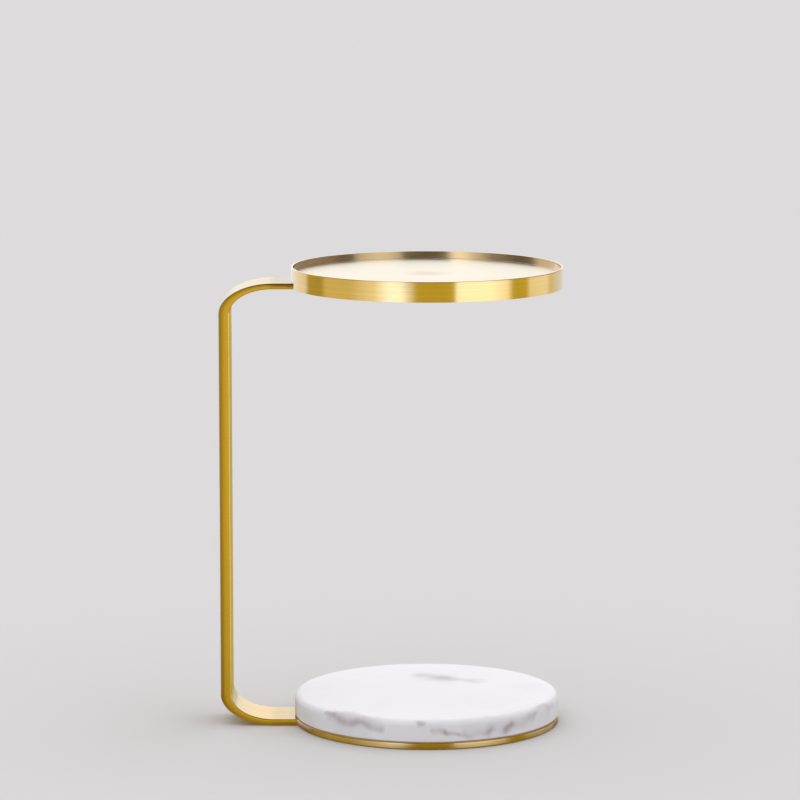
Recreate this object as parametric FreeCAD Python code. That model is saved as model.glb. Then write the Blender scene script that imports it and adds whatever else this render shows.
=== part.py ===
import FreeCAD, Part
import math
import os

# Tray-top end table: a flat bar bent into a C carries a shallow round tray on its upper arm.
# Its foot lies in a slot of a round base plate, under a marble disc.
# Millimetres, +Z up. The origin is on the ground, on the common axis of tray and base.
# The upright stands on the -X side.

# Tray
tray_diameter = 305.0
tray_top = 520.0  # the rim's top edge, above the ground
tray_depth = 8.25  # from the rim's top edge down to the floor sheet
rim_wall = 2.0
rim_rounding = 0.7
floor_sheet = 1.5
ledge_width = 4.0
mount_plate_thickness = 6.25
mount_plate_width = 90.0
mount_plate_margin = 20.0  # past the screws
mount_plate_corner = 8.0

# Flat bar
bar_width = 64.0
stock_thickness = 6.5  # both arms of the bar, and the base plate
upright_thickness = 12.0
arm_straight = 20.5  # between the wider disc and the bends
bend_reach = 60.0  # outside of the bend, along the arm
bend_rise = 35.0  # outside of the bend, along the upright
bar_rounding = 1.0
arm_end_margin = 20.0  # past the screws

# Base
base_diameter = 300.0
plate_bevel = 0.6
marble_thickness = 25.0
marble_top_rounding = 7.0
marble_foot_rounding = 1.5
gasket_thickness = 1.2
gasket_inset = 1.5
felt_thickness = 1.0
felt_inset = 5.0

# Screws and inserts
screw_diameter = 6.0
screw_head_diameter = 12.0
hex_across_flats = 4.0
hex_depth = 2.2
insert_diameter = 10.0
insert_length = 13.0
pattern_centre_x = -25.0  # the arm's four screws, over and under alike
pattern_length = 90.0
pattern_width = 36.0
plate_screw_circle = 210.0
plate_screw_angle = 50.0  # each side of the X axis, at both ends

# Clearances
slip = 0.3  # round the bar in the rim's notch and the plate's slot
bond = 0.1  # brazed, glued and threaded joints, per side
screw_clearance = 0.25  # round a shank, per side
blind_depth = 1.0  # past the end of an insert
screw_tip_gap = 0.75  # short of the end of its thread

# Places worked out from the sizes above
tray_radius = tray_diameter / 2
base_radius = base_diameter / 2
rim_inner_radius = tray_radius - rim_wall
floor_bottom = tray_top - tray_depth - floor_sheet
arm_top = floor_bottom - mount_plate_thickness
arm_bottom = arm_top - stock_thickness
foot_bottom = felt_thickness
foot_top = foot_bottom + stock_thickness
marble_bottom = foot_top + gasket_thickness
bend_x = -(max(tray_radius, base_radius) + arm_straight)
upright_out = bend_x - bend_reach
upright_in = upright_out + upright_thickness
arm_end = pattern_centre_x + pattern_length / 2 + arm_end_margin
head_height = (screw_head_diameter - screw_diameter) / 2
tray_screw_length = stock_thickness + mount_plate_thickness - screw_tip_gap
base_screw_length = stock_thickness + gasket_thickness + insert_length - screw_tip_gap


def point(x, y, z):
    return FreeCAD.Vector(x, y, z)


def disc(radius, thickness, bottom, x=0.0, y=0.0):
    return Part.makeCylinder(radius, thickness, point(x, y, bottom))


def ring(outer_radius, inner_radius, height, bottom):
    return disc(outer_radius, height, bottom).cut(disc(inner_radius, height, bottom))


def block(x_low, x_high, width, z_low, z_high):
    corner = point(x_low, -width / 2, z_low)
    return Part.makeBox(x_high - x_low, width, z_high - z_low, corner)


def edges_at(shape, height):
    """Edges that lie level at one height."""
    return [e for e in shape.Edges if max(abs(e.BoundBox.ZMin - height), abs(e.BoundBox.ZMax - height)) < 1e-4]


def arm_screw_places():
    signs = [(-1, -1), (-1, 1), (1, -1), (1, 1)]
    return [(pattern_centre_x + i * pattern_length / 2, j * pattern_width / 2) for i, j in signs]


def plate_screw_places():
    places = []
    for degrees in (plate_screw_angle, 180 - plate_screw_angle, 180 + plate_screw_angle, -plate_screw_angle):
        angle = math.radians(degrees)
        places.append((plate_screw_circle / 2 * math.cos(angle), plate_screw_circle / 2 * math.sin(angle)))
    return places


def drill(shape, places, radius, bottom, depth):
    for x, y in places:
        shape = shape.cut(disc(radius, depth, bottom, x, y))
    return shape


def head_cone(x, y, bottom):
    return Part.makeCone(screw_head_diameter / 2, screw_diameter / 2, head_height, point(x, y, bottom))


def countersink(shape, places, bottom):
    """Clearance holes with conical seats that open downwards."""
    for x, y in places:
        shape = shape.cut(disc(screw_diameter / 2 + screw_clearance, stock_thickness, bottom, x, y))
        shape = shape.cut(head_cone(x, y, bottom))
    return shape


def hex_socket(x, y, bottom):
    corner_radius = hex_across_flats / math.sqrt(3)
    corners = []
    for i in range(7):
        angle = math.radians(60 * i)
        corners.append(point(x + corner_radius * math.cos(angle), y + corner_radius * math.sin(angle), bottom))
    return Part.Face(Part.makePolygon(corners)).extrude(point(0, 0, hex_depth))


def screws(places, bottom, length):
    """Countersunk screws driven from below, heads level with the bar's or plate's underside."""
    made = []
    for x, y in places:
        screw = disc(screw_diameter / 2, length, bottom, x, y).fuse(head_cone(x, y, bottom))
        made.append(screw.removeSplitter().cut(hex_socket(x, y, bottom)))
    return Part.makeCompound(made)


def tray_rim():
    height = tray_top - arm_bottom
    band = ring(tray_radius, rim_inner_radius, height, arm_bottom)
    band = band.makeFillet(rim_rounding, edges_at(band, tray_top))
    notch = block(-tray_diameter, 0, bar_width + 2 * slip, arm_bottom, arm_top + slip)
    return band.cut(notch.cut(disc(rim_inner_radius, height, arm_bottom)))


def tray_floor():
    return disc(rim_inner_radius - bond, floor_sheet, floor_bottom)


def tray_ledge_ring():
    outer_radius = rim_inner_radius - bond
    return ring(outer_radius, outer_radius - ledge_width, mount_plate_thickness - slip, arm_top + slip)


def tray_mount_plate():
    half = pattern_length / 2 + mount_plate_margin
    plate = block(pattern_centre_x - half, pattern_centre_x + half, mount_plate_width, arm_top, floor_bottom)
    upright_edges = [e for e in plate.Edges if e.BoundBox.ZLength > mount_plate_thickness / 2]
    plate = plate.makeFillet(mount_plate_corner, upright_edges)
    return drill(plate, arm_screw_places(), screw_diameter / 2 + bond, arm_top, mount_plate_thickness)


def quarter_bend(centre, side, rise):
    """Quarter of an ellipse from centre + side to centre + rise, whichever is the longer."""
    first, second = (side, rise) if side.Length >= rise.Length else (rise, side)
    ellipse = Part.Ellipse(centre.add(first), centre.add(second), centre)
    return Part.ArcOfEllipse(ellipse, 0, math.pi / 2).toShape()


def bends(rise_sign, centre_z):
    """Outer and inner edge of one bend, which share their centre."""
    centre = point(bend_x, -bar_width / 2, centre_z)
    outer = quarter_bend(centre, point(-bend_reach, 0, 0), point(0, 0, rise_sign * bend_rise))
    inner_side = point(upright_thickness - bend_reach, 0, 0)
    inner = quarter_bend(centre, inner_side, point(0, 0, rise_sign * (bend_rise - stock_thickness)))
    return [outer, inner]


def bar_outline():
    upper_bend = arm_top - bend_rise
    lower_bend = foot_bottom + bend_rise
    straights = [
        (bend_x, arm_top, arm_end, arm_top),
        (arm_end, arm_top, arm_end, arm_bottom),
        (arm_end, arm_bottom, bend_x, arm_bottom),
        (upright_in, upper_bend, upright_in, lower_bend),
        (bend_x, foot_top, arm_end, foot_top),
        (arm_end, foot_top, arm_end, foot_bottom),
        (arm_end, foot_bottom, bend_x, foot_bottom),
        (upright_out, lower_bend, upright_out, upper_bend),
    ]
    y = -bar_width / 2
    edges = [Part.makeLine(point(x0, y, z0), point(x1, y, z1)) for x0, z0, x1, z1 in straights]
    edges += bends(1, upper_bend) + bends(-1, lower_bend)
    return Part.Wire(Part.__sortEdges__(edges))


def c_frame():
    bar = Part.Face(bar_outline()).extrude(point(0, bar_width, 0))
    long_edges = [e for e in bar.Edges if e.BoundBox.YLength < bar_width / 2]
    bar = bar.makeFillet(bar_rounding, long_edges)
    bar = countersink(bar, arm_screw_places(), arm_bottom)
    return countersink(bar, arm_screw_places(), foot_bottom)


def base_plate():
    plate = disc(base_radius, stock_thickness, foot_bottom)
    plate = plate.makeChamfer(plate_bevel, edges_at(plate, foot_top) + edges_at(plate, foot_bottom))
    plate = plate.cut(block(-base_diameter, arm_end + slip, bar_width + 2 * slip, foot_bottom, foot_top))
    return countersink(plate, plate_screw_places(), foot_bottom)


def marble_gasket():
    sheet = disc(base_radius - gasket_inset, gasket_thickness, foot_top)
    places = arm_screw_places() + plate_screw_places()
    return drill(sheet, places, screw_diameter / 2 + screw_clearance, foot_top, gasket_thickness)


def marble_disc():
    slab = disc(base_radius, marble_thickness, marble_bottom)
    slab = slab.makeFillet(marble_top_rounding, edges_at(slab, marble_bottom + marble_thickness))
    slab = slab.makeFillet(marble_foot_rounding, edges_at(slab, marble_bottom))
    places = arm_screw_places() + plate_screw_places()
    return drill(slab, places, insert_diameter / 2 + bond, marble_bottom, insert_length + blind_depth)


def marble_inserts():
    sleeves = []
    for x, y in arm_screw_places() + plate_screw_places():
        sleeve = disc(insert_diameter / 2, insert_length, marble_bottom, x, y)
        sleeves.append(sleeve.cut(disc(screw_diameter / 2 + bond, insert_length, marble_bottom, x, y)))
    return Part.makeCompound(sleeves)


def base_felt():
    return disc(base_radius - felt_inset, felt_thickness, 0)


pieces = {
    "tray_rim": tray_rim(),
    "tray_floor": tray_floor(),
    "tray_ledge_ring": tray_ledge_ring(),
    "tray_mount_plate": tray_mount_plate(),
    "tray_screws": screws(arm_screw_places(), arm_bottom, tray_screw_length),
    "c_frame": c_frame(),
    "base_plate": base_plate(),
    "marble_gasket": marble_gasket(),
    "marble_disc": marble_disc(),
    "marble_inserts": marble_inserts(),
    "foot_screws": screws(arm_screw_places(), foot_bottom, base_screw_length),
    "plate_screws": screws(plate_screw_places(), foot_bottom, base_screw_length),
    "base_felt": base_felt(),
}

os.makedirs("parts", exist_ok=True)
for name, shape in pieces.items():
    shape.exportStep(f"parts/{name}.step")
    box = shape.BoundBox
    print(f"{name}: {len(shape.Solids)} solids, valid {shape.isValid()}, volume {shape.Volume / 1000:.1f} cm3,",
          f"{box.XLength:.1f} x {box.YLength:.1f} x {box.ZLength:.1f} mm")
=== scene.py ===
import math

import bmesh
import bpy
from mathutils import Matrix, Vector


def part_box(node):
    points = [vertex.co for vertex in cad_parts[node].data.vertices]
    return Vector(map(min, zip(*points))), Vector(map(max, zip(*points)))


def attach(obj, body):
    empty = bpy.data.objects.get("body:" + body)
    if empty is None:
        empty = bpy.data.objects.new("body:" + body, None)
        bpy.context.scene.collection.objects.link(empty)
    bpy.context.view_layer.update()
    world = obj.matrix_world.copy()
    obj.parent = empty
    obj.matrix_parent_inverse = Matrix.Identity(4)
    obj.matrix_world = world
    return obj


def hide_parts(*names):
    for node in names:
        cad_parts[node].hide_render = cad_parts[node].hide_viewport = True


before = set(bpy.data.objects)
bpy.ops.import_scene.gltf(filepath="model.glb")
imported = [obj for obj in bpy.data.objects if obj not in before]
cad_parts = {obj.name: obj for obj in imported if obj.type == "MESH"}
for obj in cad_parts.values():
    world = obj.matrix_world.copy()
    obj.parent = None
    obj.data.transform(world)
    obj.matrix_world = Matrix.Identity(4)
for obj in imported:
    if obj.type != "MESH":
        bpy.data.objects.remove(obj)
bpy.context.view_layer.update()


# Base felt: a thin disc of pressed dark felt, glued under the base plate and the bar's foot.
# It covers the screw heads and keeps the metal off the floor.

felt_dark = (0.022, 0.020, 0.019)
felt_pale = (0.085, 0.080, 0.074)
fibre_share = 0.7  # of the felt's pattern. The rest is lumps.


class Tone:
    """A value that changes over a surface. Sums, differences, products and quotients add Math nodes."""

    def __init__(self, nodes, socket):
        self.nodes = nodes
        self.socket = socket

    def combine(self, operation, first, second):
        return self.nodes.add("Math", {"operation": operation}, {0: first, 1: second})

    def __add__(self, other):
        return self.combine("ADD", self, other)

    def __sub__(self, other):
        return self.combine("SUBTRACT", self, other)

    def __rsub__(self, other):
        return self.combine("SUBTRACT", other, self)

    def __mul__(self, other):
        return self.combine("MULTIPLY", self, other)

    def __truediv__(self, other):
        return self.combine("DIVIDE", self, other)

    __radd__ = __add__
    __rmul__ = __mul__


class Nodes:
    """The nodes of one finish, or of the studio's light."""

    def __init__(self, tree):
        self.tree = tree

    def add(self, kind, settings, inputs, output=0):
        """One output of a new node. Settings come first, then the values or links of its sockets."""
        node = self.tree.nodes.new("ShaderNode" + kind)
        for name, value in settings.items():
            if name == "stops":
                self.set_stops(node.color_ramp.elements, value)
            else:
                setattr(node, name, value)
        for name, value in inputs.items():
            self.feed(node.inputs[name], value)
        return Tone(self, node.outputs[output])

    def set_stops(self, elements, stops):
        while len(elements) < len(stops):
            elements.new(1.0)
        for element, (place, colour) in zip(elements, stops):
            element.position = place
            element.color = (*colour, 1.0)

    def feed(self, socket, value):
        if isinstance(value, Tone):
            self.tree.links.new(value.socket, socket)
        else:
            socket.default_value = value

    def split(self, vector):
        return [self.add("SeparateXYZ", {}, {"Vector": vector}, axis) for axis in "XYZ"]

    def join(self, x, y, z):
        return self.add("CombineXYZ", {}, {"X": x, "Y": y, "Z": z})

    def noise(self, place, scale, detail=2.0, output=0):
        return self.add("TexNoise", {}, {"Vector": place, "Scale": scale, "Detail": detail}, output)

    def fade(self, value, start, end):
        """A smooth step from 0 at start to 1 at end."""
        settings = {"interpolation_type": "SMOOTHSTEP"}
        return self.add("MapRange", settings, {"Value": value, "From Min": start, "From Max": end})

    def mix(self, share, first, second):
        """Two colours, each a tone or three numbers, mixed by a share of the second."""
        colours = [c if isinstance(c, Tone) else (*c, 1.0) for c in (first, second)]
        return self.add("Mix", {"data_type": "RGBA"}, {0: share, 6: colours[0], 7: colours[1]}, 2)


class Finish(Nodes):
    """A material on one Principled shader. The constants are the same all over the surface."""

    def __init__(self, name, constants):
        self.material = bpy.data.materials.new(name)
        self.material.use_nodes = True
        super().__init__(self.material.node_tree)
        self.shader = self.tree.nodes["Principled BSDF"]
        for socket, value in constants.items():
            self.shader.inputs[socket].default_value = value
        self.place = self.add("TexCoord", {}, {}, "Object")

    def surface(self, colour, roughness, height, depth, strength):
        """Colour, roughness, and a relief of some depth in metres."""
        bump = self.add("Bump", {}, {"Height": height, "Strength": strength, "Distance": depth})
        self.feed(self.shader.inputs["Base Color"], colour)
        self.feed(self.shader.inputs["Roughness"], roughness)
        self.feed(self.shader.inputs["Normal"], bump)


def dress(node, finish):
    """A CAD node keeps its shape and takes a finish."""
    for material_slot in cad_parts[node].material_slots:
        material_slot.material = finish.material


felt = Finish("pressed_felt", {"Sheen Weight": 0.4, "Sheen Roughness": 0.6, "Specular IOR Level": 0.2})
felt_fibres = felt.noise(felt.place, scale=1400.0, detail=4.0)
felt_lumps = felt.noise(felt.place, scale=90.0)
felt.surface(
    colour=felt.mix(felt_fibres * fibre_share + felt_lumps * (1 - fibre_share), felt_dark, felt_pale),
    roughness=0.86 + felt_fibres * 0.1,
    height=felt_fibres,
    depth=0.0004,
    strength=0.6,
)
dress("base_felt", felt)


# Base plate: a round plate of brushed brass under the marble, slotted for the foot of the bar.
# Its rim is turned with a small bevel, and four countersunk screws hold it to the marble.

plate_bevel = 0.0006
plate_steps = 224
slot_clearance = 0.0003
screw_head_radius = 0.006
screw_hole_radius = 0.00325
drill_steps = 48
drill_overrun = 0.001  # past the faces that are drilled
sharp_angle = math.radians(50)  # flatter edges than this are shaded smooth
same_place = 1e-6
same_radius = 1e-5
brass_light = (0.86, 0.61, 0.17)
brass_deep = (0.76, 0.48, 0.095)
brass_cloud = (0.72, 0.46, 0.11)
# The colour of painted shade on the brass.
brass_painted_shade = (0.26, 0.145, 0.022)
cloud_share = 0.3
plate_shade_share = 0.46
line_density = 1700.0  # brush lines to the metre
line_stretch = 5.0
band_scale = 0.2  # broad bands of brushing, against the fine lines
brush_depth = 0.00003
brush_strength = 0.2
polish = 0.09  # the roughness of the smoothest brass
line_roughness = 0.09
cloud_roughness = 0.03
smudge_roughness = 0.04
round_turn = 0.25  # of the highlight, on brass that is brushed round the axis


def finished(name, shape, finish, node):
    """A bmesh becomes a piece that rides on the table and stands for a CAD node."""
    mesh = bpy.data.meshes.new(name)
    shape.to_mesh(mesh)
    shape.free()
    mesh.shade_smooth()
    mesh.set_sharp_from_angle(angle=sharp_angle)
    mesh.materials.append(finish.material)
    piece = bpy.data.objects.new(name, mesh)
    bpy.context.scene.collection.objects.link(piece)
    even = piece.modifiers.new("even_flats", "WEIGHTED_NORMAL")
    even.keep_sharp = True
    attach(piece, "root")
    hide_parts(node)
    return piece


def bevelled(shape, edges, size, segments):
    bmesh.ops.bevel(
        shape, geom=edges, offset=size, offset_type="OFFSET", segments=segments,
        profile=0.5, affect="EDGES", material=-1,
    )


def level_edges(shape, height):
    """Edges that lie level at one height."""
    return [e for e in shape.edges if all(abs(v.co.z - height) < same_place for v in e.verts)]


def raised(shape, faces, rise):
    """Faces pulled out along a vector into a solid."""
    pulled = bmesh.ops.extrude_face_region(shape, geom=faces)["geom"]
    corners = [v for v in pulled if isinstance(v, bmesh.types.BMVert)]
    bmesh.ops.translate(shape, verts=corners, vec=rise)


def turned(shape, profile, steps, x=0.0, y=0.0):
    """A profile of radius and height, turned round an upright axis."""
    corners = [shape.verts.new((x + reach, y, height)) for reach, height in profile]
    edges = [shape.edges.new(pair) for pair in zip(corners, corners[1:])]
    bmesh.ops.spin(
        shape, geom=corners + edges, cent=(x, y, 0), axis=(0, 0, 1),
        angle=2 * math.pi, steps=steps, use_merge=True,
    )
    bmesh.ops.remove_doubles(shape, verts=shape.verts, dist=same_place)
    bmesh.ops.recalc_face_normals(shape, faces=shape.faces)


def screw_places(node):
    """Where the four screws of a node stand."""
    low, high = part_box(node)
    return [
        (x, y)
        for x in (low[0] + screw_head_radius, high[0] - screw_head_radius)
        for y in (low[1] + screw_head_radius, high[1] - screw_head_radius)
    ]


def add_countersinks(shape, node, thickness):
    """The space of countersunk holes for a node's screws, open downwards."""
    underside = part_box(node)[0][2]
    profile = [
        (0.0, underside - drill_overrun),
        (screw_head_radius + drill_overrun, underside - drill_overrun),
        (screw_hole_radius, underside + screw_head_radius - screw_hole_radius),
        (screw_hole_radius, underside + thickness + drill_overrun),
        (0.0, underside + thickness + drill_overrun),
    ]
    for x, y in screw_places(node):
        turned(shape, profile, drill_steps, x, y)


def drill(piece, hole_shape):
    """The space of a shape is cut out of a piece's mesh."""
    hole_mesh = bpy.data.meshes.new("holes")
    hole_shape.to_mesh(hole_mesh)
    hole_shape.free()
    holes = bpy.data.objects.new("holes", hole_mesh)
    bpy.context.scene.collection.objects.link(holes)
    cut = piece.modifiers.new("cut", "BOOLEAN")
    cut.operation = "DIFFERENCE"
    cut.solver = "EXACT"
    cut.object = holes
    piece.modifiers["even_flats"].show_viewport = False
    bpy.context.view_layer.update()
    cut_piece = piece.evaluated_get(bpy.context.evaluated_depsgraph_get())
    piece_mesh = bpy.data.meshes.new_from_object(cut_piece)
    piece_mesh.set_sharp_from_angle(angle=sharp_angle)
    piece.modifiers.remove(cut)
    piece.modifiers["even_flats"].show_viewport = True
    uncut_mesh = piece.data
    piece.data = piece_mesh
    bpy.data.objects.remove(holes)
    bpy.data.meshes.remove(hole_mesh)
    bpy.data.meshes.remove(uncut_mesh)


def axis_reach(finish):
    """Distance from the table's upright axis."""
    x, y, _ = finish.split(finish.place)
    return finish.add("VectorMath", {"operation": "LENGTH"}, {0: finish.join(x, y, 0.0)}, "Value")


def round_the_axis(finish):
    """Brush lines that run round the table's upright axis."""
    x, y, z = finish.split(finish.place)
    return finish.join((axis_reach(finish) + z) * line_density, x * line_stretch, y * line_stretch)


def brushed_brass(name, brush_path, turn, lacquer, painted_light=None):
    """Brass with fine brush lines, under some weight of lacquer. The turn is that of the highlight.

    Painted light or shade may change the colour of the metal from place to place.
    """
    brass = Finish(name, {
        "Metallic": 1.0,
        "Anisotropic": 0.5,
        "Anisotropic Rotation": turn,
        "Coat Weight": lacquer,
        "Coat IOR": 1.9,
        "Coat Roughness": 0.07,
    })
    path = brush_path(brass)
    lines = brass.noise(path, scale=1.0, detail=4.0)
    bands = brass.noise(path, scale=band_scale)
    cloud = brass.noise(brass.place, scale=14.0, detail=3.0)
    smudge = brass.fade(brass.noise(brass.place, scale=34.0, detail=4.0), start=0.52, end=0.72)
    colour = brass.mix(brass.fade((lines + bands) / 2, start=0.3, end=0.7), brass_deep, brass_light)
    colour = brass.mix(brass.fade(cloud, start=0.45, end=0.8) * cloud_share, colour, brass_cloud)
    # Painted light or shade, where a piece has it.
    if painted_light:
        colour = painted_light(brass, colour)
    roughness = polish + lines * line_roughness + cloud * cloud_roughness + smudge * smudge_roughness
    brass.surface(colour, roughness, lines, brush_depth, brush_strength)
    return brass


plate_low, plate_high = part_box("base_plate")
plate_radius = plate_high[1]
plate_thickness = plate_high[2] - plate_low[2]
bar_low, bar_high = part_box("c_frame")
slot_half = bar_high[1] + slot_clearance
slot_end = bar_high[0] + slot_clearance
slot_mouth = -math.sqrt(plate_radius**2 - slot_half**2)
slot_turn = math.asin(slot_half / plate_radius)

plate_shape = bmesh.new()
plate_start = plate_shape.verts.new((slot_mouth, -slot_half, plate_low[2]))
plate_arc = bmesh.ops.spin(
    plate_shape, geom=[plate_start], cent=(0, 0, 0), axis=(0, 0, 1),
    angle=2 * (math.pi - slot_turn), steps=plate_steps,
)
plate_stop = plate_arc["geom_last"][0]
slot_corners = [plate_shape.verts.new((slot_end, side * slot_half, plate_low[2])) for side in (1, -1)]
slot_line = [plate_stop, *slot_corners, plate_start]
for first, second in zip(slot_line, slot_line[1:]):
    plate_shape.edges.new((first, second))
bmesh.ops.contextual_create(plate_shape, geom=plate_shape.edges[:])
raised(plate_shape, plate_shape.faces[:], (0, 0, plate_thickness))
bmesh.ops.recalc_face_normals(plate_shape, faces=plate_shape.faces)
plate_rims = [
    e for e in level_edges(plate_shape, plate_low[2]) + level_edges(plate_shape, plate_high[2])
    if all(abs(v.co.xy.length - plate_radius) < same_radius for v in e.verts)
]
bevelled(plate_shape, plate_rims, plate_bevel, segments=3)


def painted_plate_shade(finish, colour):
    """Painted shade: the plate's metal is painted darker than the bar's."""
    return finish.mix(plate_shade_share, colour, brass_painted_shade)


# The plate's brass carries painted shade all over.
plate_brass = brushed_brass("plate_brushed_brass", round_the_axis, round_turn, lacquer=1.0, painted_light=painted_plate_shade)
plate = finished("brass_base_plate", plate_shape, plate_brass, "base_plate")
plate_holes = bmesh.new()
add_countersinks(plate_holes, "plate_screws", plate_thickness)
drill(plate, plate_holes)


# Screws under the base: eight countersunk steel screws with hexagon sockets, zinc plated.
# Four hold the plate and four the bar's foot, all driven up into the marble's inserts.

zinc_dark = (0.52, 0.53, 0.55)
zinc_pale = (0.70, 0.70, 0.68)

zinc = Finish("zinc_plated_steel", {"Metallic": 1.0})
zinc_spangle = zinc.add("TexVoronoi", {}, {"Vector": zinc.place, "Scale": 700.0}, "Distance")
zinc_bloom = zinc.noise(zinc.place, scale=260.0, detail=3.0)
zinc.surface(
    colour=zinc.mix(zinc_bloom, zinc_dark, zinc_pale),
    roughness=0.26 + zinc_bloom * 0.16 + zinc_spangle * 0.05,
    height=zinc_bloom,
    depth=0.00004,
    strength=0.3,
)
dress("foot_screws", zinc)
dress("plate_screws", zinc)


# Gasket: a thin sheet of tan rubber between the metal and the marble.
# It stands a little inside the edge, and shows as a dark line round the base.

rubber_dark = (0.62, 0.41, 0.19)
rubber_pale = (0.78, 0.55, 0.29)

rubber = Finish("tan_rubber", {"Specular IOR Level": 0.35})
rubber_bloom = rubber.noise(rubber.place, scale=120.0, detail=4.0)
rubber.surface(
    colour=rubber.mix(rubber_bloom, rubber_dark, rubber_pale),
    roughness=0.66 + rubber_bloom * 0.2,
    height=rubber_bloom,
    depth=0.0001,
    strength=0.4,
)
dress("marble_gasket", rubber)


# Inserts: eight threaded sleeves of turned brass for the screws under the base.
# They are glued into blind holes in the marble's underside.

sleeve_deep = (0.62, 0.42, 0.12)
sleeve_light = (0.80, 0.58, 0.22)

sleeve_brass = Finish("turned_sleeve_brass", {"Metallic": 1.0})
sleeve_height = sleeve_brass.split(sleeve_brass.place)[2]
sleeve_lines = sleeve_brass.noise(sleeve_brass.join(0.0, 0.0, sleeve_height), scale=2600.0)
sleeve_brass.surface(
    colour=sleeve_brass.mix(sleeve_lines, sleeve_deep, sleeve_light),
    roughness=0.24 + sleeve_lines * 0.14,
    height=sleeve_lines,
    depth=0.00005,
    strength=0.4,
)
dress("marble_inserts", sleeve_brass)


# Marble disc: a round slab of honed white marble with a few soft grey veins.
# Its upper edge is well rounded and its lower edge just broken.
# Eight blind holes are drilled in its underside for the inserts.

marble_steps = 192
top_rounding = 0.007
foot_rounding = 0.0015
insert_hole_radius = 0.0051
insert_hole_depth = 0.014
marble_white = (0.905, 0.900, 0.940)
marble_shade = (0.810, 0.785, 0.815)
vein_grey = (0.43, 0.365, 0.400)
shade_share = 0.35
grain_share = 0.08
vein_wander = 0.018  # metres
vein_least = 0.35  # the strength of a vein where it is faintest
vein_range = 0.6

marble_low, marble_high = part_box("marble_disc")
marble_radius = marble_high[0]
marble_top = marble_high[2]
marble_height = marble_top - marble_low[2]

marble_shape = bmesh.new()
bmesh.ops.create_cone(
    marble_shape, cap_ends=True, segments=marble_steps,
    radius1=marble_radius, radius2=marble_radius, depth=marble_height,
)
marble_middle = marble_low[2] + marble_height / 2
bmesh.ops.translate(marble_shape, verts=marble_shape.verts, vec=(0, 0, marble_middle))
bevelled(marble_shape, level_edges(marble_shape, marble_top), top_rounding, segments=10)
bevelled(marble_shape, level_edges(marble_shape, marble_low[2]), foot_rounding, segments=4)


def on_side(degrees, height):
    """A place on the marble's side, by degrees round from the front towards +X, and by height."""
    angle = math.radians(degrees)
    return Vector((marble_radius * math.sin(angle), -marble_radius * math.cos(angle), height))


def on_top(x, y):
    """A place on the marble's top face."""
    return Vector((x, y, marble_top))


def streak(stone, place, start, end, width):
    """1 along a line through the stone, fading to 0 at some width from it."""
    run = end - start
    step = run / run.length_squared
    from_start = stone.add("VectorMath", {"operation": "SUBTRACT"}, {0: place, 1: start})
    share = stone.add("VectorMath", {"operation": "DOT_PRODUCT"}, {0: from_start, 1: step}, "Value")
    share = stone.add("Math", {"operation": "MINIMUM", "use_clamp": True}, {0: share, 1: 1.0})
    nearest = stone.add("VectorMath", {"operation": "SCALE"}, {0: run, "Scale": share})
    gap = stone.add("VectorMath", {"operation": "DISTANCE"}, {0: from_start, 1: nearest}, "Value")
    return stone.fade(gap, width, 0.0)


# Each vein's start and end, its width in metres and its weight.
veins = [
    (on_side(-50, 0.0325), on_side(-44, 0.0295), 0.0060, 0.75),
    (on_side(-44, 0.0285), on_side(-33, 0.0235), 0.0070, 0.50),
    (on_side(-33, 0.0235), on_side(-20, 0.0245), 0.0070, 0.55),
    (on_side(-46, 0.0290), on_side(-22, 0.0280), 0.0120, 0.45),
    (on_side(-5, 0.0300), on_side(-2, 0.0292), 0.0045, 0.85),
    (on_side(2, 0.0185), on_side(9, 0.0180), 0.0048, 0.50),
    (on_side(9, 0.0180), on_side(18, 0.0158), 0.0048, 0.62),
    (on_side(18, 0.0158), on_side(27, 0.0190), 0.0080, 0.70),
    (on_side(27, 0.0190), on_side(32, 0.0225), 0.0050, 0.40),
    (on_side(-64, 0.0200), on_side(-30, 0.0180), 0.0200, 0.18),
    (on_side(20, 0.0180), on_side(64, 0.0220), 0.0200, 0.22),
    (on_side(34, 0.0170), on_side(52, 0.0255), 0.0110, 0.55),
    (on_side(38, 0.0205), on_side(35, 0.0170), 0.0065, 0.75),
    (on_side(50, 0.0275), on_side(70, 0.0300), 0.0065, 0.30),
    (on_top(-0.004, 0.080), on_top(0.018, 0.064), 0.0210, 0.46),
    (on_top(0.018, 0.064), on_top(0.056, 0.049), 0.0180, 0.40),
    (on_side(118, 0.0290), on_side(152, 0.0150), 0.0065, 0.70),
    (on_side(-112, 0.0160), on_side(-146, 0.0300), 0.0060, 0.60),
    (on_side(166, 0.0270), on_side(-172, 0.0190), 0.0080, 0.45),
]

marble = Finish("honed_white_marble", {"Specular IOR Level": 0.5})
wander = marble.noise(marble.place, scale=38.0, detail=1.0, output="Color")
wander = marble.add("VectorMath", {"operation": "SUBTRACT"}, {0: wander, 1: (0.5, 0.5, 0.5)})
wander = marble.add("VectorMath", {"operation": "SCALE"}, {0: wander, "Scale": vein_wander})
veined_place = marble.add("VectorMath", {"operation": "ADD"}, {0: marble.place, 1: wander})
grain = marble.noise(marble.place, scale=420.0, detail=3.0)
shade = marble.fade(marble.noise(veined_place, scale=16.0, detail=4.0), start=0.45, end=0.8)
patches = marble.fade(marble.noise(veined_place, scale=75.0, detail=0.6), start=0.05, end=0.60)
vein_strength = vein_least + patches * vein_range
marble_colour = marble.mix(shade * shade_share + grain * grain_share, marble_white, marble_shade)
for start, end, width, weight in veins:
    vein = streak(marble, veined_place, start, end, width) * vein_strength * weight
    marble_colour = marble.mix(vein, marble_colour, vein_grey)
marble.surface(
    colour=marble_colour,
    roughness=0.34 + grain * 0.10 + shade * 0.04,
    height=grain,
    depth=0.00006,
    strength=0.25,
)
slab = finished("marble_slab", marble_shape, marble, "marble_disc")

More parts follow.
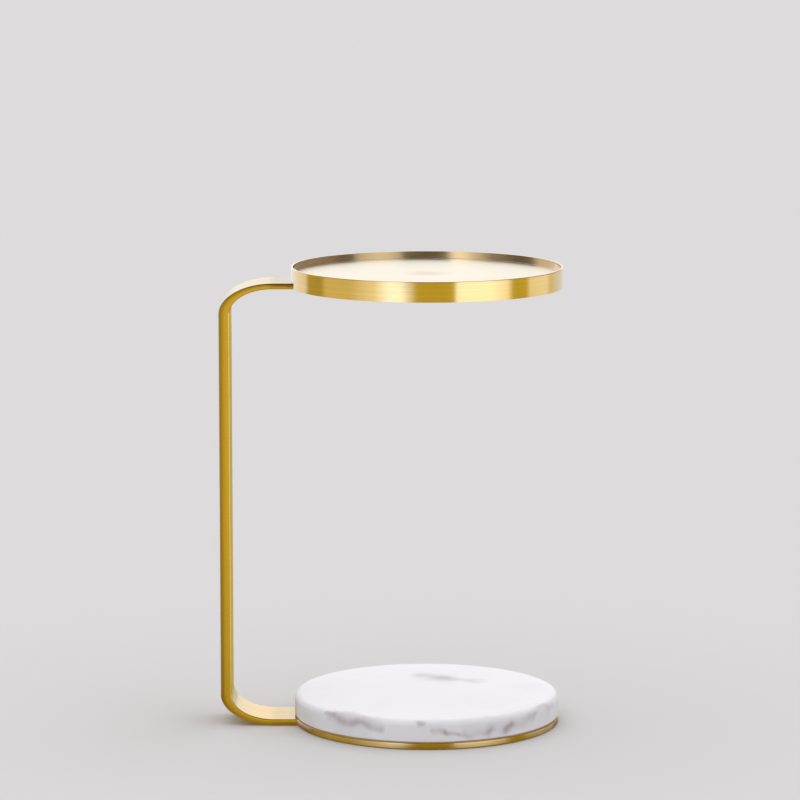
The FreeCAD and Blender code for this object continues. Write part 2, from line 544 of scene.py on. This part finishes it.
insert_hole_profile = [
    (0.0, marble_low[2] - drill_overrun),
    (insert_hole_radius, marble_low[2] - drill_overrun),
    (insert_hole_radius, marble_low[2] + insert_hole_depth),
    (0.0, marble_low[2] + insert_hole_depth),
]
insert_holes = bmesh.new()
for x, y in screw_places("foot_screws") + screw_places("plate_screws"):
    turned(insert_holes, insert_hole_profile, drill_steps, x, y)
drill(slab, insert_holes)


# C frame: one flat bar of brushed brass, bent into a C and lacquered.
# Its arms are thinner than its upright.
# The foot lies in the base plate's slot, and the upper arm is screwed up under the tray.

upright_thickness = 0.012
arm_thickness = plate_thickness
bend_reach = 0.060
bend_rise = 0.035
bend_steps = 28
bend_x = bar_low[0] + bend_reach
bar_rounding = 0.001
corner_angle = math.radians(60)  # sharper edges than this are rounded
edge_facing = 0.3  # faces that look sideways by more than this are the bar's edges
flat_share = 0.28  # the flat faces take the painted shade of this place on the bar's edges
# Painted highlight inside the C, and painted shade outside it, in its inner corner, and beside the tray and
# the base.
brass_painted_highlight = (0.96, 0.70, 0.21)
highlight_share = 0.6
foot_shade = 0.08
upright_shade = 0.67  # on top of the foot's
tray_shadow = 0.60
notch_shadow = 0.30  # on top of the tray's
corner_shade = 0.62

# Where the painted shade begins and reaches its full strength, in metres along Z and along X.
foot_heights = (0.004, 0.035)
upper_heights = (0.40, 0.45)
before_tray = (-0.182, -0.168)
before_notch = (-0.159, -0.154)
inside_tray = (-0.144, -0.147)


def bar_edge(shape, side_inset, arm_inset):
    """A chain of edges along the C, set in from its outside on the upright and on the arms."""
    reach = bend_reach - side_inset
    rise = bend_rise - arm_inset
    points = [(bar_high[0], bar_high[2] - arm_inset)]
    for centre_z, start in ((bar_high[2] - bend_rise, 90), (bar_low[2] + bend_rise, 180)):
        for step in range(bend_steps + 1):
            angle = math.radians(start + 90 * step / bend_steps)
            points.append((bend_x + reach * math.cos(angle), centre_z + rise * math.sin(angle)))
    points.append((bar_high[0], bar_low[2] + arm_inset))
    corners = [shape.verts.new((x, bar_low[1], z)) for x, z in points]
    return [shape.edges.new(pair) for pair in zip(corners, corners[1:])]


def place_along_bar(x, z):
    """About the distance along the C from the foot's end. The bends count by their height."""
    if x > bend_x:
        foot_run = bar_high[0] - x
        arm_run = 2 * (bar_high[0] - bend_x) + bar_high[2] - foot_run
        return foot_run if z < bar_high[2] / 2 else arm_run
    return bar_high[0] - bend_x + z


def share_in(x, z):
    """Share of the bar's thickness in from the outside of the C."""
    from_end = min(z - bar_low[2], bar_high[2] - z)
    if x > bend_x:
        return from_end / arm_thickness
    if from_end > bend_rise:
        return (x - bar_low[0]) / upright_thickness
    side = bend_x - x
    rise = bend_rise - from_end
    inner_reach = bend_reach - upright_thickness
    inner_rise = bend_rise - arm_thickness
    to_outside = 1 - math.hypot(side / bend_reach, rise / bend_rise)
    to_inside = math.hypot(side / inner_reach, rise / inner_rise) - 1
    return to_outside / (to_outside + to_inside)


def brush_map(mesh):
    """A UV map in metres, along the bar and across each face, and the share in from the outside."""
    mesh.uv_layers.new(name="along_and_across")
    mesh.attributes.new("share_in", "FLOAT", "CORNER")
    places = mesh.uv_layers["along_and_across"].data
    shares = mesh.attributes["share_in"].data
    for polygon in mesh.polygons:
        on_edge = abs(polygon.normal.y) > edge_facing
        for index in polygon.loop_indices:
            x, y, z = mesh.vertices[mesh.loops[index].vertex_index].co
            share = share_in(x, z) if on_edge else flat_share
            across = share * upright_thickness if on_edge else y
            places[index].uv = (place_along_bar(x, z), across)
            shares[index].value = share


def along_the_bar(finish):
    """Brush lines that run along the bent bar."""
    u, v, w = finish.split(finish.add("UVMap", {"uv_map": "along_and_across"}, {}))
    return finish.join(v * line_density, u * line_stretch, w)


def painted_edge_light(finish, colour):
    """Painted highlight and painted shade on the bar's edges: darker outside the C and brighter inside it,
    up to a painted dark inner corner.

    The upper arm has a painted shadow where it meets the tray, and the foot half as much beside the base.
    """
    share = finish.add("Attribute", {"attribute_name": "share_in"}, {}, "Fac")
    x, _, z = finish.split(finish.place)
    above_foot = finish.fade(z, *foot_heights)
    at_tray = finish.fade(x, *before_tray) * finish.fade(x, *inside_tray)
    at_tray = at_tray * (0.5 + finish.fade(z, *upper_heights) * 0.5)
    at_notch = finish.fade(x, *before_notch) * at_tray
    outside = finish.fade(share, start=0.55, end=0.0) * (foot_shade + above_foot * upright_shade)
    beside_tray = finish.fade(share, start=0.95, end=0.35) * (at_tray * tray_shadow + at_notch * notch_shadow)
    inner_corner = finish.fade(share, start=0.90, end=1.0) * corner_shade
    # A painted highlight on the inner half of the edges, then painted shade and shadow over it.
    colour = finish.mix(finish.fade(share, start=0.3, end=0.8) * highlight_share, colour, brass_painted_highlight)
    return finish.mix(outside + beside_tray + inner_corner, colour, brass_painted_shade)


bar_shape = bmesh.new()
outer_edge = bar_edge(bar_shape, 0.0, 0.0)
inner_edge = bar_edge(bar_shape, upright_thickness, arm_thickness)
bmesh.ops.bridge_loops(bar_shape, edges=outer_edge + inner_edge)
raised(bar_shape, bar_shape.faces[:], (0, bar_high[1] - bar_low[1], 0))
bmesh.ops.recalc_face_normals(bar_shape, faces=bar_shape.faces)
bar_corners = [e for e in bar_shape.edges if e.calc_face_angle(0.0) > corner_angle]
bevelled(bar_shape, bar_corners, bar_rounding, segments=4)

bar_brass = brushed_brass("bar_brushed_brass", along_the_bar, turn=0.0, lacquer=0.35, painted_light=painted_edge_light)
bar = finished("brass_c_bar", bar_shape, bar_brass, "c_frame")
bar.visible_glossy = False  # the tray's rim mirrors the studio's cards alone, and no image of the arm

arm_holes = bmesh.new()
add_countersinks(arm_holes, "tray_screws", arm_thickness)
add_countersinks(arm_holes, "foot_screws", arm_thickness)
drill(bar, arm_holes)
brush_map(bar.data)


# Tray mount: a steel plate under the tray's floor, painted satin black and tapped for four screws.
# The zinc plated screws come up through the arm and clamp it to the plate.

paint_black = (0.018, 0.018, 0.019)
paint_dusty = (0.055, 0.053, 0.050)
dust_share = 0.6

black_paint = Finish("satin_black_paint", {"Specular IOR Level": 0.5})
paint_peel = black_paint.noise(black_paint.place, scale=900.0)
paint_dust = black_paint.noise(black_paint.place, scale=45.0, detail=4.0)
paint_dusting = black_paint.fade(paint_dust, start=0.4, end=0.8) * dust_share
black_paint.surface(
    colour=black_paint.mix(paint_dusting, paint_black, paint_dusty),
    roughness=0.40 + paint_peel * 0.12 + paint_dust * 0.08,
    height=paint_peel,
    depth=0.00008,
    strength=0.35,
)
dress("tray_mount_plate", black_paint)
dress("tray_screws", zinc)


# Ledge ring: a flat ring of brushed brass, turned to fit inside the rim.
# It is brazed there as the seat of the tray's floor.

ring_brass = brushed_brass("ring_brushed_brass", round_the_axis, round_turn, lacquer=1.0)
dress("tray_ledge_ring", ring_brass)


# Tray floor: a round sheet of pale brass with a fine spun finish.
# It lies on the ledge ring and is brazed to the rim with a small cove.

floor_cove = 0.0004
floor_lip = 0.0003
cove_fill = 0.9  # the share of the cove that is rounded
floor_steps = 224
satin_pale = (0.98, 0.93, 0.81)
# The colour of a painted reflection at the middle of the floor.
satin_tan = (0.91, 0.82, 0.68)
painted_reflection_brown = (0.70, 0.58, 0.44)
spun_band_scale = 0.12
spun_band_share = 0.35
spun_cloud_share = 0.25
# Painted reflection: the middle of the spun floor is painted browner.
painted_reflection_radius = 0.032
painted_reflection_share = 0.55

sheet_low, sheet_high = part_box("tray_floor")
sheet_radius = sheet_high[0]
lip_radius = sheet_radius - floor_lip
sheet_profile = [
    (0.0, sheet_low[2]),
    (sheet_radius, sheet_low[2]),
    (sheet_radius, sheet_high[2] + floor_cove),
    (lip_radius, sheet_high[2] + floor_cove),
    (lip_radius, sheet_high[2]),
    (0.0, sheet_high[2]),
]
sheet_shape = bmesh.new()
turned(sheet_shape, sheet_profile, floor_steps)
cove_edges = [
    e for e in level_edges(sheet_shape, sheet_high[2])
    if all(abs(v.co.xy.length - lip_radius) < same_place for v in e.verts)
]
bevelled(sheet_shape, cove_edges, floor_cove * cove_fill, segments=5)

spun_brass = Finish("spun_tray_brass", {"Metallic": 1.0})
spun_path = round_the_axis(spun_brass)
spun_lines = spun_brass.noise(spun_path, scale=1.0, detail=3.0)
spun_bands = spun_brass.fade(spun_brass.noise(spun_path, spun_band_scale, detail=3.0), start=0.35, end=0.75)
spun_cloud = spun_brass.noise(spun_brass.place, scale=11.0, detail=3.0)
spun_patches = spun_brass.fade(spun_cloud, start=0.5, end=0.8)
# Painted reflection, browner towards the middle of the floor.
painted_middle_reflection = spun_brass.fade(axis_reach(spun_brass), start=painted_reflection_radius, end=0.0)
spun_colour = spun_brass.mix(spun_bands * spun_band_share, satin_pale, satin_tan)
spun_colour = spun_brass.mix(spun_patches * spun_cloud_share, spun_colour, satin_tan)
spun_colour = spun_brass.mix(painted_middle_reflection * painted_reflection_share, spun_colour, painted_reflection_brown)
spun_brass.surface(
    colour=spun_colour,
    roughness=0.33 + spun_lines * 0.05 + spun_cloud * 0.04,
    height=spun_lines,
    depth=brush_depth,
    strength=brush_strength,
)
finished("brass_tray_floor", sheet_shape, spun_brass, "tray_floor")


# Tray rim: a band of brushed brass rolled round and brazed shut, with rounded top edges.
# Its lower half is a skirt, notched where the arm passes through.

rim_wall = 0.002
rim_rounding = 0.0007
notch_clearance = 0.0003
skirt_steps = 208
notch_steps = 16
# Painted light: a paler colour for the rim's inner wall.
inside_painted_brass = (0.84, 0.64, 0.37)

rim_low, rim_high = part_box("tray_rim")
rim_top = rim_high[2]
rim_radius = rim_high[0]
rim_inner = rim_radius - rim_wall
notch_top = bar_high[2] + notch_clearance
notch_half = bar_high[1] + notch_clearance
notch_turn = math.asin(notch_half / rim_inner)

rim_shape = bmesh.new()
rim_start = math.pi + notch_turn
rim_profile = [(rim_radius, notch_top), (rim_radius, rim_top), (rim_inner, rim_top), (rim_inner, notch_top)]
rim_corners = [
    rim_shape.verts.new((reach * math.cos(rim_start), reach * math.sin(rim_start), height))
    for reach, height in rim_profile
]
rim_sides = [rim_shape.edges.new(pair) for pair in zip(rim_corners, rim_corners[1:] + rim_corners[:1])]
skirted = bmesh.ops.spin(
    rim_shape, geom=rim_corners + rim_sides, cent=(0, 0, 0), axis=(0, 0, 1),
    angle=2 * (math.pi - notch_turn), steps=skirt_steps,
)
skirt_faces = [f for f in rim_shape.faces if all(abs(v.co.z - notch_top) < same_place for v in f.verts)]
bmesh.ops.spin(
    rim_shape, geom=skirted["geom_last"], cent=(0, 0, 0), axis=(0, 0, 1),
    angle=2 * notch_turn, steps=notch_steps,
)
bmesh.ops.remove_doubles(rim_shape, verts=rim_shape.verts, dist=same_place)
bmesh.ops.recalc_face_normals(rim_shape, faces=rim_shape.faces)
raised(rim_shape, skirt_faces, (0, 0, rim_low[2] - notch_top))
bmesh.ops.delete(rim_shape, geom=skirt_faces, context="FACES")
bmesh.ops.recalc_face_normals(rim_shape, faces=rim_shape.faces)
rim_tops = [e for e in level_edges(rim_shape, rim_top) if e.calc_face_angle(0.0) > corner_angle]
bevelled(rim_shape, rim_tops, rim_rounding, segments=4)


def painted_paler_inside(finish, colour):
    """Painted light: the rim's inner wall is painted paler than its outside."""
    middle = rim_radius - rim_wall / 2
    inside = finish.fade(axis_reach(finish), middle + rim_wall / 4, middle - rim_wall / 4)
    return finish.mix(inside, colour, inside_painted_brass)


rim_brass = brushed_brass("rim_brushed_brass", round_the_axis, round_turn, lacquer=1.0, painted_light=painted_paler_inside)
finished("brass_tray_rim", rim_shape, rim_brass, "tray_rim")


# Studio: a plain pale floor and a soft sky that is brighter overhead.
# Metal also mirrors tall soft boxes and dark flags that stand round the table.
# A long lens looks at the table from the photograph's side, a little from above.

floor_size = 40.0
floor_grey = (0.655, 0.640, 0.640, 1.0)
floor_shape = bmesh.new()
bmesh.ops.create_grid(floor_shape, x_segments=1, y_segments=1, size=floor_size)
floor_mesh = bpy.data.meshes.new("studio_floor")
floor_shape.to_mesh(floor_mesh)
floor_shape.free()
floor_finish = {"Base Color": floor_grey, "Roughness": 0.9, "Specular IOR Level": 0.0}
floor_paint = Finish("pale_floor_paint", floor_finish)
floor_mesh.materials.append(floor_paint.material)
floor = bpy.data.objects.new("studio_floor", floor_mesh)
bpy.context.scene.collection.objects.link(floor)
floor.visible_glossy = False

white_wall = (1.13, 1.11, 1.09)
side_wall = (0.90, 0.88, 0.84)
grey_wall = (0.74, 0.73, 0.70)
warm_wall = (0.56, 0.41, 0.08)
cool_box = (1.42, 1.68, 2.60)
soft_box = (1.42, 1.62, 2.10)
cream_box = (1.25, 1.30, 1.45)
dark_flag = (0.62, 0.52, 0.09)
deep_flag = (0.48, 0.40, 0.10)
half_flag = (0.76, 0.69, 0.38)
pale_flag = (1.00, 1.00, 0.95)
umber_card = (0.14, 0.085, 0.035)
bronze_card = (0.42, 0.36, 0.12)
cream_card = (0.72, 0.64, 0.52)
dark_card = (0.32, 0.23, 0.02)
sand_card = (0.38, 0.36, 0.28)
black_flag = (0.020, 0.018, 0.016)
brown_flag = (0.22, 0.18, 0.15)
tan_flag = (0.74, 0.73, 0.70)
cream_flag = (0.76, 0.68, 0.60)
sand_flag = (1.00, 0.99, 0.94)
bright_flag = (1.42, 1.42, 1.34)
overhead_before = (0.08, 0.07, 0.065)
overhead_behind = (1.03, 1.01, 1.00)
sky_low_before = (0.05, 0.05, 0.05)
sky_high_before = (1.20, 1.20, 1.22)
sky_low_behind = (0.12, 0.12, 0.12)
sky_high_behind = (1.50, 1.50, 1.52)
pale_air = (0.80, 0.80, 0.80)

# Degrees round from the camera's side, towards +X: where each card starts and ends.
# One ring of cards stands on the ground, the next at the tray's level, and one above it.
ground_cards = [
    (-180, -128, umber_card), (-110, -72, bronze_card), (-44, -31, cream_card), (-15, 16, dark_card),
    (38, 50, cream_card), (84, 96, dark_card), (112, 140, sand_card), (150, 180, umber_card),
]
low_cards = [
    (-180, -126, side_wall), (-120, -101, deep_flag), (-96, -70, half_flag), (-49, -46, pale_flag),
    (-32, -22, cool_box), (-9, 22, dark_flag), (25, 55, soft_box), (68, 71, cream_box),
    (77, 92, dark_flag), (97, 120, pale_flag), (128, 130, half_flag), (135, 180, grey_wall),
]
high_cards = [
    (-180, -150, white_wall), (-140, -114, cream_flag), (-105, -84, black_flag), (-66, -58, brown_flag),
    (-46, -42, tan_flag), (-32, -22, bright_flag), (-18, 20, black_flag), (23, 27, tan_flag),
    (37, 44, sand_flag), (56, 62, tan_flag), (68, 79, black_flag), (90, 156, brown_flag),
    (165, 180, white_wall),
]

# Where one part of the studio gives way to the next, by the direction that a ray goes in.
# Rises are its share upwards, depths its share away from the camera, and turns parts of a full turn.
low_rise = (-0.232, -0.205)
warm_wall_rise = (-0.119, -0.128)
high_rise = (-0.03, 0.03)
overhead_rise = (0.65, 0.92)
sky_rise = (-0.2, 1.0)
overhead_depth = (-0.3, 0.3)
sky_depth = (-0.8, 0.2)
warm_wall_turn = (0.035, 0.020)


def stops(cards):
    """Each card keeps its colour from its start to its end. Between cards the colours blend."""
    return [(degrees / 360 + 0.5, colour) for start, end, colour in cards for degrees in (start, end)]


world = bpy.data.worlds.new("studio_air")
world.use_nodes = True
world.cycles.sampling_method = "NONE"
bpy.context.scene.world = world
air = Nodes(world.node_tree)
x, y, z = air.split(air.add("TexCoord", {}, {}, "Generated"))
turn = air.add("Math", {"operation": "ARCTAN2"}, {0: x, 1: 0.0 - y}) / (2 * math.pi) + 0.5
ground_view = air.add("ValToRGB", {"stops": stops(ground_cards)}, {"Fac": turn})
low_view = air.add("ValToRGB", {"stops": stops(low_cards)}, {"Fac": turn})
high_view = air.add("ValToRGB", {"stops": stops(high_cards)}, {"Fac": turn})
behind = air.fade(turn, *warm_wall_turn) + air.fade(1.0 - turn, *warm_wall_turn)
overhead = air.mix(air.fade(y, *overhead_depth), overhead_before, overhead_behind)
mirrored = air.mix(air.fade(z, *low_rise), ground_view, low_view)
mirrored = air.mix(behind * air.fade(z, *warm_wall_rise), mirrored, warm_wall)
mirrored = air.mix(air.fade(z, *high_rise), mirrored, high_view)
mirrored = air.mix(air.fade(z, *overhead_rise), mirrored, overhead)
sky_before = air.mix(air.fade(z, *sky_rise), sky_low_before, sky_high_before)
sky_behind = air.mix(air.fade(z, *sky_rise), sky_low_behind, sky_high_behind)
sky = air.mix(air.fade(y, *sky_depth), sky_before, sky_behind)
light = air.mix(air.add("LightPath", {}, {}, "Is Glossy Ray"), sky, mirrored)
light = air.mix(air.add("LightPath", {}, {}, "Is Camera Ray"), light, pale_air)
air.feed(world.node_tree.nodes["Background"].inputs["Color"], light)

camera_place = (-0.0304, -4.4568, 1.0334)
camera_dip = 8.489  # degrees below level
camera_data = bpy.data.cameras.new("long_lens")
camera_data.lens = 180.0
camera_data.sensor_width = 36.0
camera = bpy.data.objects.new("long_lens", camera_data)
camera.location = camera_place
camera.rotation_euler = (math.radians(90 - camera_dip), 0.0, 0.0)
bpy.context.scene.collection.objects.link(camera)
bpy.context.scene.camera = camera
bpy.context.scene.view_settings.view_transform = "Standard"
